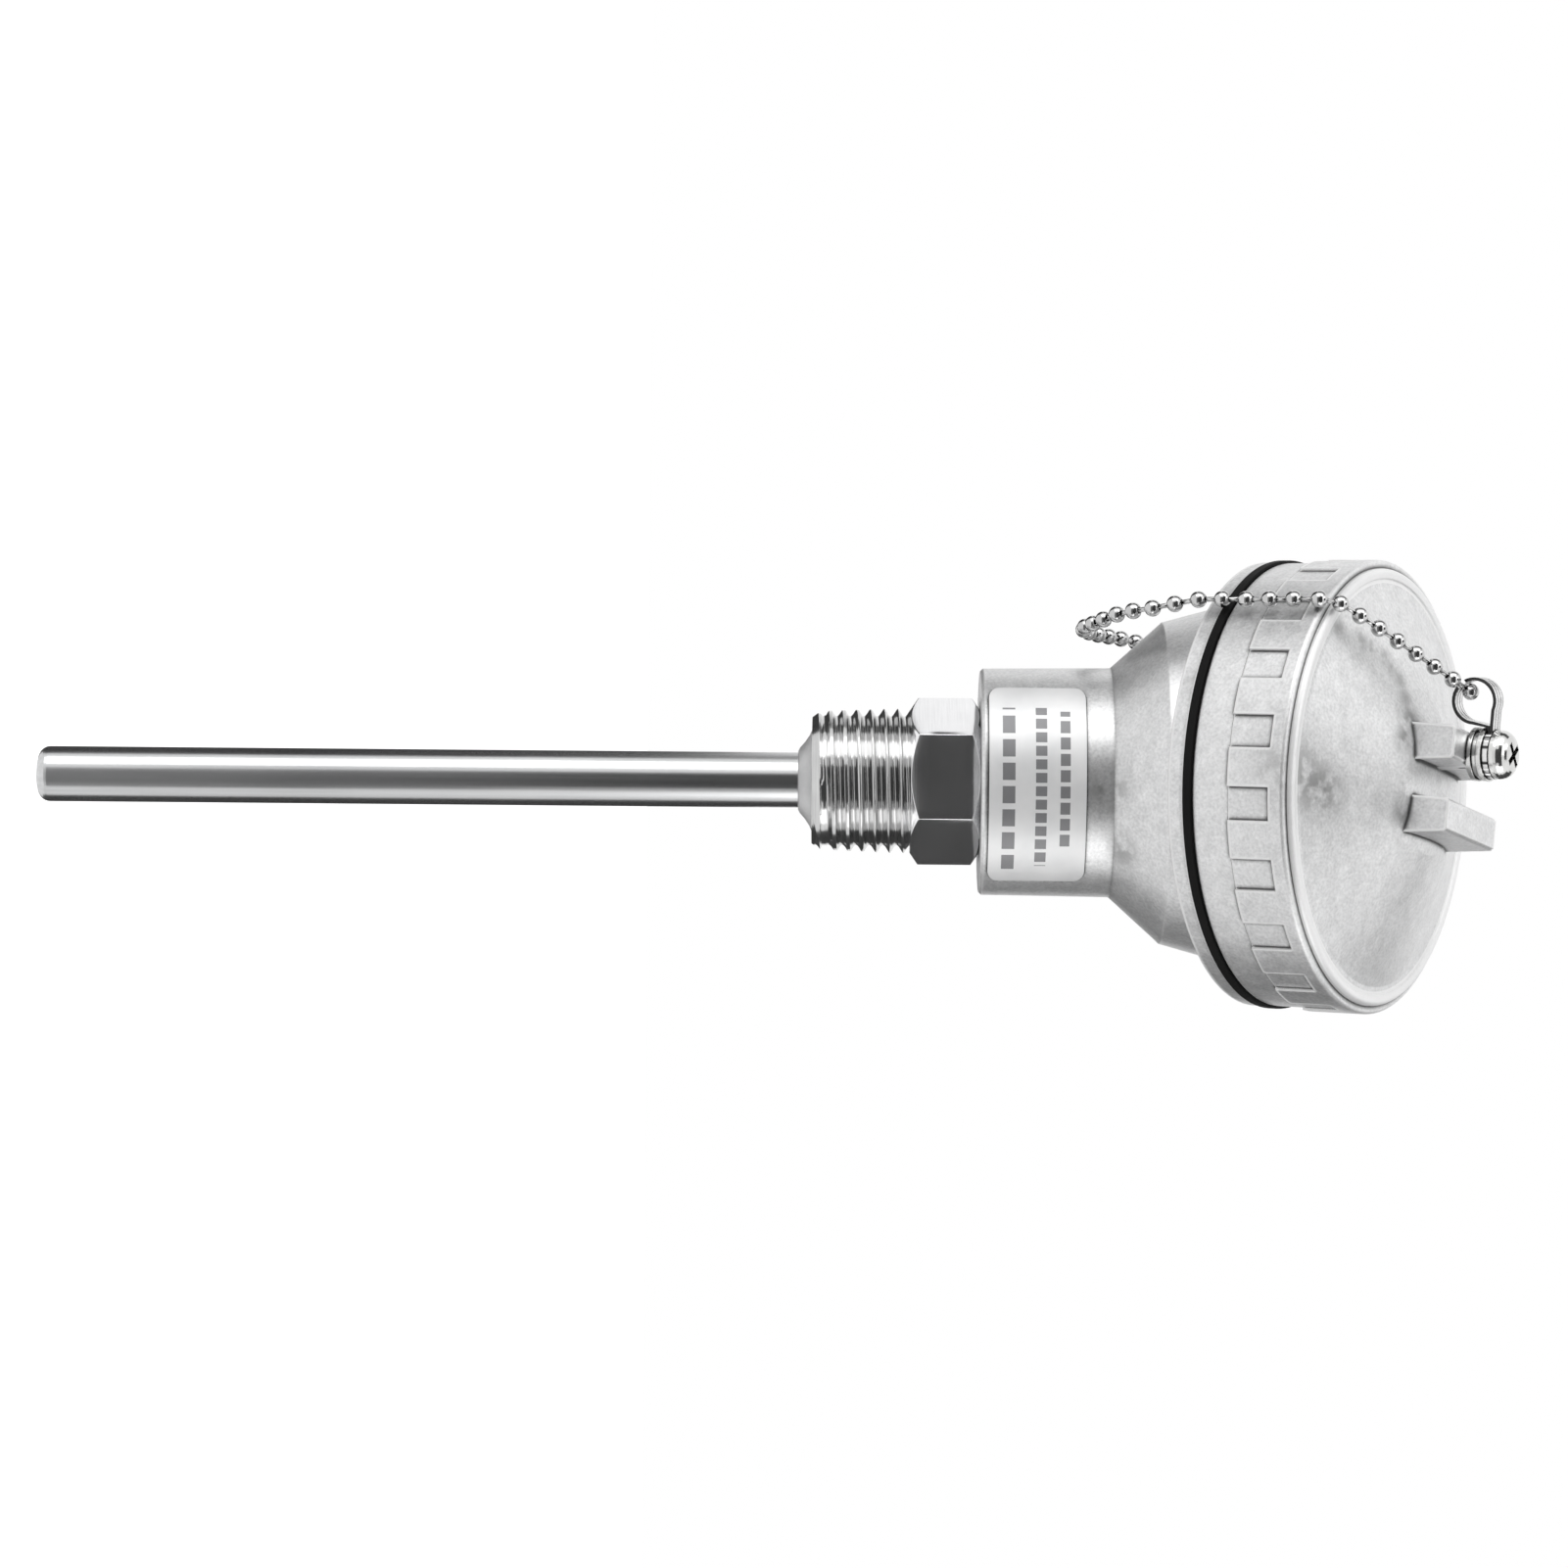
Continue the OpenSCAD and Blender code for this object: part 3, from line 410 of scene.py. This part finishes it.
def painted_alloy(metallic=0.72):
    f = Finish("painted_alloy", Metallic=metallic)
    flakes = f.noise(0.22, 3.0)
    mottle = f.noise(1.1, 4.0)
    clouds = f.noise(11.0, 2.0)
    tone = flakes * 0.5 + mottle * 0.3 + clouds * 0.2
    paint = f.between(tone, (0.60, 0.602, 0.605), (0.90, 0.902, 0.905), 0.34, 0.66)

    # Soft patches are painted darker; on the cap they are painted shadow and painted shade.
    first, *others = [patch(f, *spot) for spot in spots]
    dark_patches_and_shade = sum(others, first) * f.span(mottle, 0.35, 0.6)
    paint = f.cover(dark_patches_and_shade * 0.72, paint, 0.26)
    # A painted shade line runs in from the rim of the dome, patchy with the mottle.
    shade_line = functools.reduce(Signal.most, [patch(f, spot, SHADE_LINE_R) for spot in shade_line_spots])
    paint = f.cover(shade_line * f.span(mottle, 0.25, 0.6) * 0.6, paint, 0.2)

    radius, height = lid_place(f)
    # Painted shade darkens the corners, except on a band just inside the rim.
    unshaded_rim = (radius > RIM_R - RIM_WIDTH) * (radius < RIM_R - RIM_EDGE)
    corner_shade = corner(f, 0.8, full=0.72) * 0.92 * (1 - unshaded_rim)
    paint = f.cover(corner_shade, paint, 0.04)
    # Edges are painted bright and less metallic, partly wear of the paint and partly a painted
    # highlight; the bead round the rim gets a painted highlight.
    bead = (radius > RIM_R - BEAD_WIDTH) * (height > SHOULDER + BEAD_RISE)
    paint_wear_and_highlight = corner(f, 0.5, inside=True, full=0.75).most(bead * 0.8)
    f.feed("Base Color", f.cover(paint_wear_and_highlight, paint, 0.98))
    f.feed("Metallic", metallic - paint_wear_and_highlight * 0.5)
    f.feed("Roughness", 0.3 + mottle * 0.08 + flakes * 0.08)
    f.bumps(flakes * 0.5 + mottle * 0.7, 0.4, 0.06, f.soft_edges(0.3))
    return f.done()


PAINT = painted_alloy()

# %% [markdown]
# ## Foil, rubber and ceramic
#
# The foil on the neck carries no words: three rows of plain blocks stand for its
# print. They are drawn from the height and the side of each point, which keeps
# them sharp from near by, where a picture would blur. Rubber is dark and dull
# under a little dust. Ceramic is off-white with a thin glaze.

# %% Foil label
PRINT_ROWS = [  # middle and half of a row's height, its two ends and its blocks' pitch
    (13.8, 0.9, -11.0, 12.0, 3.3), (18.4, 0.8, -11.0, 11.5, 1.9), (21.8, 0.7, -10.5, 9.0, 2.3)]
BLOCK_SHARE = 0.74


def foil():
    f = Finish("foil", Metallic=0.35, Coat_Weight=0.4, Coat_Roughness=0.12)
    side, height = [f.add("SeparateXYZ", {}, {0: f.place}, axis) / MM for axis in ("X", "Z")]
    haze = f.noise(3.0, 3.0)
    grain = f.noise(0.2, 2.0)

    def row(middle, half, first, last, pitch):
        block = f.sum_of("FRACT", side / pitch) < BLOCK_SHARE
        inside = (height > middle - half) * (height < middle + half)
        return inside * (side > first) * (side < last) * block

    first_row, *other_rows = [row(*sizes) for sizes in PRINT_ROWS]
    bare = f.between(haze, (0.84, 0.845, 0.85), 0.95, 0.3, 0.7)
    f.feed("Base Color", f.cover(sum(other_rows, first_row) * 0.8, bare, (0.10, 0.10, 0.11)))
    f.feed("Roughness", 0.42 + haze * 0.1)
    f.bumps(grain + haze, 0.12, 0.02)
    return f.done()


FOIL = foil()

# %% Rubber and ceramic
def rubber():
    f = Finish("black_rubber", Specular_IOR_Level=0.15)
    grain = f.noise(0.25, 4.0)
    f.feed("Base Color", f.between(f.noise(5.0, 3.0), 0.003, 0.009))
    f.feed("Roughness", 0.55 + grain * 0.2)
    f.bumps(grain, 0.3, 0.03, f.soft_edges(0.25))
    return f.done()


def ceramic():
    f = Finish("white_ceramic", Coat_Weight=0.2, Coat_Roughness=0.2)
    grain = f.noise(0.4, 4.0)
    tone = f.noise(6.0, 3.0) * 0.7 + grain * 0.3
    f.feed("Base Color", f.between(tone, (0.78, 0.76, 0.70), (0.88, 0.87, 0.83)))
    f.feed("Roughness", 0.42 + grain * 0.15)
    f.bumps(grain, 0.2, 0.03, f.soft_edges(0.3))
    return f.done()


RUBBER = rubber()
CERAMIC = ceramic()

# %% [markdown]
# ## Dressing the frame's nodes
#
# A node whose shape is right keeps its mesh and gets a finish in its slots. A
# new mesh would only repeat it, and the frame's own is sure to fit.

# %% Give each node its finish
finish_of = {
    "protection_tube": STEEL, "process_fitting": MILLED, "neck_label": FOIL,
    "head_body": PAINT, "cap": PAINT, "gland_nut": PAINT, "cap_clip": CAP_CLIP,
    "cap_gasket": RUBBER, "gland_grommet": RUBBER,
    "sensing_element": CERAMIC, "insulator_rod": CERAMIC, "terminal_base": CERAMIC,
    "terminal_clamps": BRASS, "earth_screw": BRASS, "earth_washer": BRASS,
    "base_springs": SPRING, "lead_wires": WIRE,
}
for name, node in nodes.items():
    for slot in node.material_slots:
        slot.material = finish_of.get(name, NICKEL)
print(len(finish_of), "nodes have a finish of their own, the rest are nickel-plated")

# %% [markdown]
# ## Tools for modelling
#
# A lathe needs an outline. It is drawn as by hand: one point, extruded from
# place to place, then spun about the axis. Everything is deselected first,
# because an operator acts on all that is selected. A finished piece is turned
# to metres, its place goes into its mesh, and it is given to the body that it
# moves with.

# %% Draw and spin
DOUBLES = 0.0005


def fresh():
    if bpy.context.object and bpy.context.object.mode == "EDIT":
        bpy.ops.object.mode_set(mode="OBJECT")
    bpy.ops.object.select_all(action="DESELECT")


def drawn(name, outline):
    """A line through (radius, height) points in millimetres, extruded point by point."""
    fresh()
    bpy.ops.mesh.primitive_plane_add(size=1)
    piece = bpy.context.object
    piece.name = piece.data.name = name
    bpy.ops.object.mode_set(mode="EDIT")
    bpy.ops.mesh.select_all(action="SELECT")
    bpy.ops.mesh.merge(type="CENTER")
    radius, height = outline[0]
    bpy.ops.transform.translate(value=(radius, 0, height))
    for (r0, z0), (r1, z1) in zip(outline, outline[1:]):
        bpy.ops.mesh.extrude_region_move(TRANSFORM_OT_translate={"value": (r1 - r0, 0, z1 - z0)})
    return piece


def merged(piece):
    """Closes seams and poles, turns the faces outwards and leaves edit mode."""
    bpy.ops.mesh.select_all(action="SELECT")
    bpy.ops.mesh.remove_doubles(threshold=DOUBLES)
    bpy.ops.mesh.normals_make_consistent(inside=False)
    bpy.ops.object.mode_set(mode="OBJECT")
    return piece


def turned(name, outline, steps=96):
    piece = drawn(name, outline)
    bpy.ops.mesh.select_all(action="SELECT")
    bpy.ops.mesh.spin(steps=steps, angle=math.tau, center=(0, 0, 0), axis=(0, 0, 1))
    return merged(piece)

print("points closer than", DOUBLES, "mm are merged")

# %% Apply and place
def only(piece):
    fresh()
    piece.select_set(True)
    bpy.context.view_layer.objects.active = piece


def applied(piece, kind, **settings):
    """A modifier with these settings, applied to the mesh."""
    only(piece)
    modifier = piece.modifiers.new(kind.lower(), kind)
    for key, value in settings.items():
        setattr(modifier, key, value)
    bpy.ops.object.modifier_apply(modifier=modifier.name)
    return piece


def placed(piece, body, finish, matrix=Matrix(), smooth=40):
    """Puts the place in the mesh, in metres, and hands the piece to its body."""
    only(piece)
    piece.data.transform(Matrix.Scale(MM, 4) @ matrix @ piece.matrix_world)
    piece.matrix_world = Matrix()
    bpy.ops.object.shade_smooth_by_angle(angle=math.radians(smooth))
    piece.data.materials.clear()
    piece.data.materials.append(finish)
    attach(piece, body)
    print(piece.name, len(piece.data.polygons), "faces")
    return piece

print("a new piece lies at the origin, with its place in its mesh")

# %% [markdown]
# ## The process thread
#
# A thread is one outline of a single turn, climbed round the axis. The Screw
# modifier does that, and each turn meets the next, so merging the doubles
# makes one surface. A lathe first turns the blank to a taper, so every point
# that would stand proud of the blank is brought in to it. Two straight cuts
# end the thread. A bump could draw a thread too, but its outline would be
# straight, and this one is seen from the side.

# %% The thread's outline and its blank
THREAD_R, THREAD_LEN = 10.4775, 14.2
PITCH, DEPTH, START = 1.96, 1.12, 1.7
LEAD_R, LEAD_SLOPE = 9.15, 0.75
TAPER_R, TAPER_SLOPE = 10.0, 0.042
GROOVE_R, GROOVE_LOW, GROOVE_HIGH = 9.45, -12.9, -11.9
FLANK = [(0, 1), (0.1, 0.96), (0.2, 0.75), (0.38, 0.24), (0.46, 0.04)]  # (share of pitch, of depth)


def thread_blank(z):
    """The blank's radius at a height: a lead at the tip, a taper and one groove."""
    above = z + THREAD_LEN
    groove = GROOVE_R if GROOVE_LOW < z < GROOVE_HIGH else THREAD_R
    return min(LEAD_R + above * LEAD_SLOPE, TAPER_R + above * TAPER_SLOPE, groove)


turn = FLANK + [(0.5, 0)] + [(1 - share, deep) for share, deep in reversed(FLANK)]
outline = [(THREAD_R - DEPTH * deep, -THREAD_LEN + PITCH * (share - START)) for share, deep in turn]
print("one turn of the thread has", len(outline), "points")

# %% Climb, bring in to the blank and cut
thread_ends = (-THREAD_LEN, False), (0.05, True)
process_thread = drawn("process_thread", outline)
bpy.ops.object.mode_set(mode="OBJECT")
applied(process_thread, "SCREW", screw_offset=PITCH, iterations=math.ceil(THREAD_LEN / PITCH) + 3,
        steps=96, render_steps=96, use_merge_vertices=True, merge_threshold=DOUBLES)
for vertex in process_thread.data.vertices:
    x, y, z = vertex.co
    shrink = min(1, thread_blank(z) / math.hypot(x, y))
    vertex.co = (x * shrink, y * shrink, z)
only(process_thread)
bpy.ops.object.mode_set(mode="EDIT")
for height, top in thread_ends:
    bpy.ops.mesh.select_all(action="SELECT")
    bpy.ops.mesh.bisect(plane_co=(0, 0, height), plane_no=(0, 0, 1), use_fill=True,
                        clear_outer=top, clear_inner=not top)
placed(merged(process_thread), "probe", THREADED, smooth=50)

# %% [markdown]
# ## The hexagon, the weld and the spigot
#
# A hexagon's faces are flat, and a lathe tool breaks both of its ends at a
# little over 30 degrees. A bevel would give them straight corners. Cutting a
# six-sided bar with the turned form gives the curved ends that the faces of
# every real hexagon show. The weld is a cone between the tube and the thread,
# and the spigot is the fitting's end inside the head. Both are spun from an
# outline, because they are as round as the stem.

# %% Hexagon
HEX_AF, HEX_H, HEX_TURN = 21.0, 10.0, math.radians(-5.5)
TURNING_R, CHAMFER = HEX_AF / 2 + 2.4, 1.7
FACE_R = HEX_AF / 2 - 0.1

fresh()
bpy.ops.mesh.primitive_cylinder_add(
    vertices=6, radius=HEX_AF / 2 / math.cos(math.pi / 6), depth=HEX_H,
    location=(0, 0, HEX_H / 2), rotation=(0, 0, HEX_TURN + math.pi / 6))
hexagon = bpy.context.object
hexagon.name = hexagon.data.name = "process_hexagon"
bpy.ops.object.transform_apply(location=True, rotation=True, scale=True)
turning = turned("hexagon_turning", [
    (0, 0), (FACE_R, 0), (TURNING_R, CHAMFER),
    (TURNING_R, HEX_H - CHAMFER), (FACE_R, HEX_H), (0, HEX_H)], 180)
applied(hexagon, "BOOLEAN", operation="INTERSECT", object=turning, solver="EXACT")
bpy.data.objects.remove(turning)
applied(hexagon, "BEVEL", width=0.14, segments=3, limit_method="ANGLE",
        angle_limit=math.radians(20))
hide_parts("process_fitting")
placed(hexagon, "probe", MILLED, smooth=30)

# %% Weld and spigot
TUBE_R = 4.0
BORE_R = TUBE_R - 0.1
WELD_R, WELD_TOP = 7.3, -14.0
SPIGOT_R, SPIGOT_TOP, SPIGOT_FOOT = 8.99, 21.0, HEX_H - 0.1

weld = turned("weld_cone", [
    (BORE_R, -16.15), (TUBE_R + 0.25, -16.2), (4.75, -15.95), (5.6, -15.2), (6.6, -14.55),
    (WELD_R, -14.25), (WELD_R, WELD_TOP), (BORE_R, WELD_TOP), (BORE_R, -16.15)])
placed(weld, "probe", WELD, smooth=60)
spigot = turned("head_spigot", [
    (BORE_R, SPIGOT_FOOT), (SPIGOT_R, SPIGOT_FOOT), (SPIGOT_R, SPIGOT_TOP - 0.4),
    (8.6, SPIGOT_TOP), (BORE_R, SPIGOT_TOP), (BORE_R, SPIGOT_FOOT)])
placed(spigot, "probe", THREADED)

# %% [markdown]
# ## Threads of the collar and the gland
#
# They come into view when the cap or the gland nut is screwed back. The frame
# has the plain cylinders, so only the ridge is new: a closed outline, carried
# round by the Screw modifier with its foot inside the metal. It stays within
# the clearance that the frame leaves between the two threads.

# %% Collar and gland threads
COLLAR_R, FLANGE_TOP, COLLAR_TOP = 28.0, 2.4, 12.4
STUB_R, STUB_Y, STUB_LEN = 9.7, 34.4, 4.1
BOSS_Z = 46.5
RIDGE, FOOT = 0.24, 0.3
ENTRY = Matrix.Translation((0, 0, BOSS_Z)) @ Matrix.Rotation(-math.pi / 2, 4, "X")


def ridge(name, pitch, base_r, low, high, matrix, body):
    """A closed ridge that climbs round a cylinder with its foot a little inside it."""
    foot_r, top_r = base_r - FOOT, base_r + RIDGE
    shape = [(foot_r, 0.1), (base_r, 0.1), (top_r, 0.38),
             (top_r, 0.52), (base_r, 0.8), (foot_r, 0.8)]
    piece = drawn(name, [(r, low + pitch * share) for r, share in shape + shape[:1]])
    merged(piece)
    turns = math.floor((high - low) / pitch) - 1
    applied(piece, "SCREW", screw_offset=pitch, iterations=turns, steps=72, render_steps=72)
    bpy.ops.object.mode_set(mode="EDIT")
    bpy.ops.mesh.select_all(action="SELECT")
    bpy.ops.mesh.fill_holes(sides=0)
    placed(merged(piece), body, PAINT, matrix)


ridge("collar_thread", 2.0, COLLAR_R, FLANGE_TOP + 1.9, COLLAR_TOP - 0.6, LID, "probe")
ridge("gland_thread", 1.2, STUB_R, STUB_Y, STUB_Y + STUB_LEN, ENTRY, "gland_screw")

# %% [markdown]
# ## The bead chain
#
# The chain hangs between the head, which stays, and the cap's seal, which
# New beads could be set along a curve, but they would have
# to follow the frame's to the last one. So it is a copy of the frame's beads and
# links, merged and smoothed.

# %% Bead chain
CHAIN_DOUBLES = 0.002 * MM
copies = []
for name in ("chain_beads", "chain_links"):
    copy = nodes[name].copy()
    copy.data = nodes[name].data.copy()
    copy.parent = None
    for key in list(copy.keys()):
        del copy[key]
    scene.collection.objects.link(copy)
    copies.append(copy)
only(copies[0])
copies[1].select_set(True)
bpy.ops.object.join()
chain = bpy.context.object
chain.name = chain.data.name = "bead_chain"
bpy.ops.object.mode_set(mode="EDIT")
bpy.ops.mesh.select_all(action="SELECT")
bpy.ops.mesh.remove_doubles(threshold=CHAIN_DOUBLES)
bpy.ops.object.mode_set(mode="OBJECT")
bpy.ops.object.shade_smooth_by_angle(angle=math.radians(40))
chain.data.materials.clear()
chain.data.materials.append(CHAIN)
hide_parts("chain_beads", "chain_links")
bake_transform(chain)
print("bead_chain", len(chain.data.polygons), "faces")

# %% [markdown]
# ## Floor, light and background
#
# The floor is pale and lies just under the tip. The background is white for the
# eye and for what metal mirrors, and a weaker white for the light that it gives.
# Soft boxes stand on both sides of the stem and above the head. A last one only
# fills the head's shadows: it is hidden from mirrors, so that it burns no spot
# into the dome. Cards round the object give polished metal its dark lines, as
# in any metalware studio. Black ones make the dark bands. Grey ones, some of
# them low enough to be mirrored in the tube alone, make the half-tones.

# %% World
AMBIENT = 0.42
world = bpy.data.worlds.new("studio")
scene.world = world
world.use_nodes = True
world.node_tree.nodes.clear()
sky = Graph(world.node_tree)
ambient, white = [sky.add("Background", {}, {"Color": (1, 1, 1, 1), "Strength": strength})
                  for strength in (AMBIENT, 1.0)]
seen = sky.ray_is("Is Camera Ray", "Is Glossy Ray", "Is Transmission Ray")
chosen = sky.add("MixShader", {}, {0: seen, 1: ambient, 2: white})
output = sky.tree.nodes.new("ShaderNodeOutputWorld")
sky.tree.links.new(chosen.socket, output.inputs["Surface"])
print("ambient light", AMBIENT)

# %% Lamps
def lamp(name, angle, rise, distance, width, height, power):
    """A soft box at an angle round the stem (0 is the camera's side) and a rise to the head."""
    a, e = math.radians(angle), math.radians(rise)
    back = Vector((math.sin(a) * math.cos(e), -math.cos(a) * math.cos(e), math.sin(e)))
    data = bpy.data.lights.new(name, "AREA")
    data.shape, data.size, data.size_y, data.energy = "RECTANGLE", width, height, power
    soft_box = bpy.data.objects.new(name, data)
    scene.collection.objects.link(soft_box)
    soft_box.location = back * distance
    soft_box.rotation_mode = "QUATERNION"
    soft_box.rotation_quaternion = back.to_track_quat("Z", "Y")
    return soft_box


lamp("upper_box", -62, 5, 0.9, 0.5, 1.2, 3.8)
lamp("lower_box", 66, 0, 0.9, 0.45, 1.2, 2.3)
lamp("head_box", -25, 62, 0.9, 0.6, 0.6, 1.0)
lamp("head_fill", -25, 62, 0.95, 0.6, 0.6, 1.2).visible_glossy = False
print("three soft boxes and a fill that no mirror shows")

# %% Flat sheets
def flat(name, corners, finish):
    """A flat sheet through four corners, which isn't part of the object."""
    fresh()
    bpy.ops.mesh.primitive_plane_add(size=2)
    sheet = bpy.context.object
    sheet.name = name
    for vertex, corner_place in zip(sheet.data.vertices, corners):
        vertex.co = corner_place
    sheet.data.materials.append(finish.material)
    return sheet


def upright(a0, a1, distance, low=-0.45, high=0.8):
    """Corners of a sheet along the stem, between two angles round it and two heights."""
    angles = [math.radians(a) for a in (a0, a1)]
    ends = [(math.sin(a) * distance, -math.cos(a) * distance) for a in angles]
    return [(*end, height) for height in (low, high) for end in ends]


def level(half, near, far, height):
    """Corners of a level sheet, from its half width, its two sides and its height."""
    return [(x, y, height) for y in (near, far) for x in (-half, half)]


def matt(name, blotch_mm, low, high, roughness=1.0, **glow):
    f = Finish(name, Specular_IOR_Level=0.0, Roughness=roughness, **glow)
    f.feed("Base Color", f.between(f.noise(blotch_mm), low, high))
    return f

# %% Cards
BELOW = -0.035  # a card up to here is mirrored in the tube alone
dark = matt("dark_card", 60.0, 0.08, 0.11)
dusk = matt("dusk_card", 60.0, 0.36, 0.42)
grey = matt("grey_card", 60.0, 0.72, 0.80, Emission_Color=(1, 1, 1, 1), Emission_Strength=0.42)
cards = [
    flat("card_tube_mid", upright(52, 96, 0.6, high=BELOW), grey),
    flat("card_tube_front", upright(34, 52, 0.85, high=BELOW), dusk),
    flat("card_front", upright(-28, 36, 0.85, low=-0.13, high=0.3), dark),
    flat("card_front_high", upright(-45, 50, 0.84, low=0.1, high=0.5), dark),
    flat("card_front_low", upright(-28, 36, 0.85, high=-0.13), dusk),
    flat("card_lower", upright(98, 150, 0.6), dark),
    flat("card_upper", upright(-122, -98, 0.6, low=-0.012), dark),
    flat("card_tube_upper", upright(-178, -98, 0.6, high=BELOW), dark),
    flat("card_tube_lower", upright(150, 178, 0.6, high=BELOW), dark),
    flat("card_top", level(0.12, -0.4, -0.08, 0.6), dark),
]
for sheet in cards:
    sheet.visible_camera = sheet.visible_diffuse = False
    sheet.visible_shadow = sheet.visible_transmission = False
print(len(cards), "cards, for mirrors alone")

# %% [markdown]
# ## The floor's finish
#
# The floor is lifted to white for the eye and for mirrors alone, so it keeps
# the object's shadow and adds no light to it. Seen from below it is clear, and
# the object can be looked at from there as well.

# %% Floor
FLOOR_GAP = 0.4 * MM
pale = matt("pale_floor", 40.0, 0.84, 0.87, roughness=0.9)
bright = pale.add("Emission", {}, {"Color": (1, 1, 1, 1), "Strength": 0.8})
surface = Signal(pale, pale.shader.outputs[0])
lifted = pale.add("AddShader", {}, {0: surface, 1: bright})
seen = pale.ray_is("Is Camera Ray", "Is Glossy Ray")
front = pale.add("MixShader", {}, {0: seen, 1: surface, 2: lifted})
clear = pale.add("BsdfTransparent", {}, {})
behind = pale.add("NewGeometry", {}, {}, "Backfacing")
one_sided = pale.add("MixShader", {}, {0: behind, 1: front, 2: clear})
pale.tree.links.new(one_sided.socket, pale.tree.nodes["Material Output"].inputs["Surface"])

floor_z = cad_box[0][2] - FLOOR_GAP
floor = flat("floor", level(2, -2, 2, floor_z), pale)
floor.visible_glossy = False
print("floor at", round(floor_z * 1000, 1), "mm")

# %% [markdown]
# ## The last step
#
# The dressed probe has to be as large as its frame.

# %% Finish
print("the probe is dressed")
